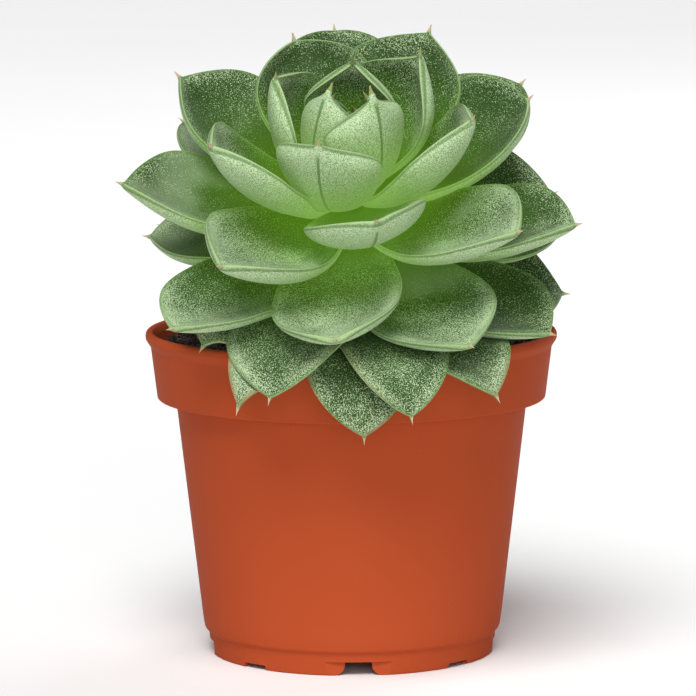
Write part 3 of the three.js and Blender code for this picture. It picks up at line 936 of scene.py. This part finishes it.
worn = age.rise(22, 44) * from_margin.rise(1.3, 0.2) * clouds.rise(0.42, 0.6)
flesh = skin.mix(worn * 0.55, flesh, colour(0.30, 0.18, 0.10))
point = along.rise(1.02, 1.25)
tip_colour = skin.mix(age.rise(0, 9), colour(0.26, 0.30, 0.09), colour(0.46, 0.36, 0.22))
flesh = skin.mix(point * 0.9, flesh, tip_colour)

lit_through = (along + clouds * 0.2 - 0.1).rise(0.88, 0.2) * age.rise(32, 14)
lit_colour = skin.mix(upper, colour(0.14, 0.24, 0.05), colour(0.055, 0.13, 0.005))
skin.feed(
    Base_Color=flesh,
    Emission_Color=skin.mix(lit_through, colour(0, 0, 0), lit_colour),
    Roughness=0.5 + speck * 0.14 - line * 0.1,
    Normal=skin.bump(fine * (1 - painted_edge_light) + clouds * 2.5, 0.05 * MM, 0.5),
)
print("leaf_skin has", len(skin.nodes), "nodes")

# %% [markdown]
# ## The heart and the open leaves
#
# In the middle stand the leaves that haven't opened, each inside the last. They follow the same turn and
# the same shape, only shorter and more pointed, so they are grown by the same function and kept together
# as one piece. The open leaves follow from the youngest to the oldest, each settled under those before.

# %% The heart
HEART_LEAVES = 6
HEART_REACH = (0.8, 3.2)
HEART_LENGTH = (14, 22.5)
HEART_WIDTH = (4.5, 10)
HEART_THICKNESS = (1.2, 1.8)
HEART_LIFT = 88
HEART_CURL = 28
HEART_POINT = 1.6
HEART_SEED = 50

grown_trees = []


def add_leaf(bm, sizes, seed):
    """Grows a leaf, settles it under those that have been grown before, and adds it to them."""
    own_bm = leaf_mesh()
    grid, faces_up = grow_leaf(own_bm, sizes, seed)
    pressed = settle(grid, faces_up, grown_trees)
    bmesh.ops.recalc_face_normals(own_bm, faces=own_bm.faces)
    for face in own_bm.faces:
        face.smooth = True
    grown_trees.append(BVHTree.FromBMesh(own_bm))
    mesh = bpy.data.meshes.new("grown_leaf")
    own_bm.to_mesh(mesh)
    own_bm.free()
    bm.from_mesh(mesh)
    bpy.data.meshes.remove(mesh)
    return pressed


bm = leaf_mesh()
for k in range(HEART_LEAVES, 0, -1):
    outwards = (k - 1) / (HEART_LEAVES - 1)
    pressed = add_leaf(bm, dict(
        age=-k,
        turn=FIRST_TURN + k * GOLDEN_ANGLE,
        lift=HEART_LIFT,
        length=between(HEART_LENGTH, outwards),
        width=between(HEART_WIDTH, outwards),
        thickness=between(HEART_THICKNESS, outwards),
        cup=CUP[0],
        curl=HEART_CURL,
        point=HEART_POINT,
        droop=0,
        roll=0,
        low=0,
        fold=TIP_FOLD,
        root_reach=between(HEART_REACH, outwards),
    ), HEART_SEED + k)
finish_piece(bm, "heart_bud", skin, "heart", "heart")
print("heart leaves:", HEART_LEAVES, "pressed apart by up to", round(pressed, 2), "mm")

# %% The open leaves
for leaf_age in ages:
    bm = leaf_mesh()
    pressed = add_leaf(bm, leaf_sizes(leaf_age), leaf_age)
    finish_piece(bm, f"leaf_blade_{leaf_age:02d}", skin, "leaf", f"leaf_{leaf_age:02d}")
    print("leaf", leaf_age, "pressed down by up to", round(pressed, 2), "mm")

# %% [markdown]
# ## The stem
#
# Old rosettes stand on a short bare stem, ringed by the scars of the leaves that dropped off. It hides
# under the leaves, but shows from behind. A column is cut into rings, and each ring is carried to its
# place on the stem's line.

# %% The stem
STEM_RINGS = 60
STEM_AROUND = 40
BARK_TRIM = 0.15
BARK_RIPPLE = 0.3
SCAR_HEIGHT = 0.25
SCAR_CLIMB = 2.3
SCARS_AROUND = 3

bm = bmesh.new()
bmesh.ops.create_cone(bm, cap_ends=True, segments=STEM_AROUND, radius1=1, radius2=1, depth=1)
long_edges = [e for e in bm.edges if abs(e.verts[0].co.z - e.verts[1].co.z) > 0.5]
bmesh.ops.subdivide_edges(bm, edges=long_edges, cuts=STEM_RINGS - 1, use_grid_fill=True)
for vert in bm.verts:
    distance = (0.5 - vert.co.z) * stem_lengths[-1]
    middle, up = stem_at(distance)
    side = Vector((1, 0, 0))
    ahead = up.cross(side).normalized()
    angle = math.atan2(vert.co.y, vert.co.x)
    ripple = noise.noise(Vector((vert.co.x * 1.5, vert.co.y * 1.5, distance * 0.35)))
    scar = math.sin(distance * SCAR_CLIMB + SCARS_AROUND * angle) ** 4 * SCAR_HEIGHT
    radius = STEM_RADIUS - BARK_TRIM + BARK_RIPPLE * ripple + scar
    radius *= math.hypot(vert.co.x, vert.co.y)
    vert.co = (middle + (side * math.cos(angle) + ahead * math.sin(angle)) * radius) * MM
bmesh.ops.recalc_face_normals(bm, faces=bm.faces)
for face in bm.faces:
    face.smooth = True

bark = Paint("stem_bark", Roughness=0.75)
rings = bark.noise(260, 4)
bark.feed(
    Base_Color=bark.mix(rings.rise(0.4, 0.62), colour(0.22, 0.26, 0.09), colour(0.30, 0.20, 0.11)),
    Normal=bark.bump(rings, 0.3 * MM, 0.5),
)
finish_piece(bm, "stem_wood", bark, "stem", "stem")
print("stem has", STEM_RINGS, "rings")

# %% [markdown]
# ## The soil
#
# Potting mix is crumbs: most of them dark, a few pale bits of grit. The plug under them fills the pot. It
# is spun from its outline like the pot, and its top rises a little in the middle. The crumbs are small
# deformed spheres scattered over it by seeded draws, twenty faces each, in one mesh.

# %% The soil
SOIL_EDGE = 67.8
SOIL_MIDDLE = 68.8
SOIL_RADIUS = 42.3
SOIL_STEPS = 96
SOIL_WAVE = 0.8
CRUMBS = 2600
CRUMB_SIZES = (0.35, 1.5)
CRUMB_SEED = 5
CRUMBS_WITHIN = 0.985

SOIL_OUTLINE = [
    (REST_RADIUS - 1.4, WALL + 0.3, 0.2),
    (REST_RADIUS, FLOOR_UNDERSIDE + WALL + 0.4, 0.2),
    (29.6, FLOOR_UNDERSIDE + WALL + 0.4, 0.2),
    (31.4, 8.4, 0.2),
    (37.0, BAND_LOW + WALL + 0.3, 0.2),
    (41.0, BAND_LOW + WALL + 0.4, 0.2),
    (SOIL_RADIUS, SOIL_EDGE - 0.5, 0.2),
    (30, SOIL_EDGE - 0.1, 0.2),
]
bm = spin_outline(SOIL_OUTLINE, SOIL_STEPS, (WALL + 0.3, SOIL_MIDDLE - 0.4))
rng = random.Random(CRUMB_SEED)


def soil_height(x, y):
    """How high the crumbs lie, in mm: a low hill with a slow wave in it."""
    hill = (SOIL_MIDDLE - SOIL_EDGE) * (1 - math.hypot(x, y) / SOIL_RADIUS)
    return SOIL_EDGE + hill + noise.noise(Vector((x, y, 3)) * 0.12) * SOIL_WAVE


for _ in range(CRUMBS):
    radius = SOIL_RADIUS * math.sqrt(rng.random()) * CRUMBS_WITHIN
    angle = rng.uniform(0, 2 * math.pi)
    x, y = radius * math.cos(angle), radius * math.sin(angle)
    size = min(CRUMB_SIZES[1], CRUMB_SIZES[0] + rng.expovariate(3.2))
    made = bmesh.ops.create_icosphere(bm, subdivisions=1, radius=size / 2)["verts"]
    turn = Quaternion((rng.uniform(-1, 1), rng.uniform(-1, 1), rng.uniform(-1, 1)), rng.uniform(0, 3))
    stretch = Vector((rng.uniform(0.7, 1.5), rng.uniform(0.7, 1.2), rng.uniform(0.5, 0.9)))
    centre = Vector((x, y, soil_height(x, y) + size * 0.1))
    for vert in made:
        shaped = turn @ (vert.co * rng.uniform(0.75, 1.2) * stretch)
        vert.co = (centre + shaped) * MM
bmesh.ops.recalc_face_normals(bm, faces=bm.faces)

mix_paint = Paint("potting_mix", Roughness=0.95)
lumps = mix_paint.noise(420, 3)
grit = mix_paint.cells(520, output="Color")
pale = grit.parts()[0].rise(0.93, 0.97)
peat = mix_paint.mix(lumps.rise(0.4, 0.7), colour(0.010, 0.006, 0.004), colour(0.060, 0.032, 0.020))
mix_paint.feed(
    Base_Color=mix_paint.mix(pale * 0.6, peat, colour(0.30, 0.24, 0.18)),
    Normal=mix_paint.bump(mix_paint.noise(1500, 3), 0.2 * MM, 0.6),
)
finish_piece(bm, "soil_crumbs", mix_paint, "soil", "soil")
print("crumbs:", CRUMBS)
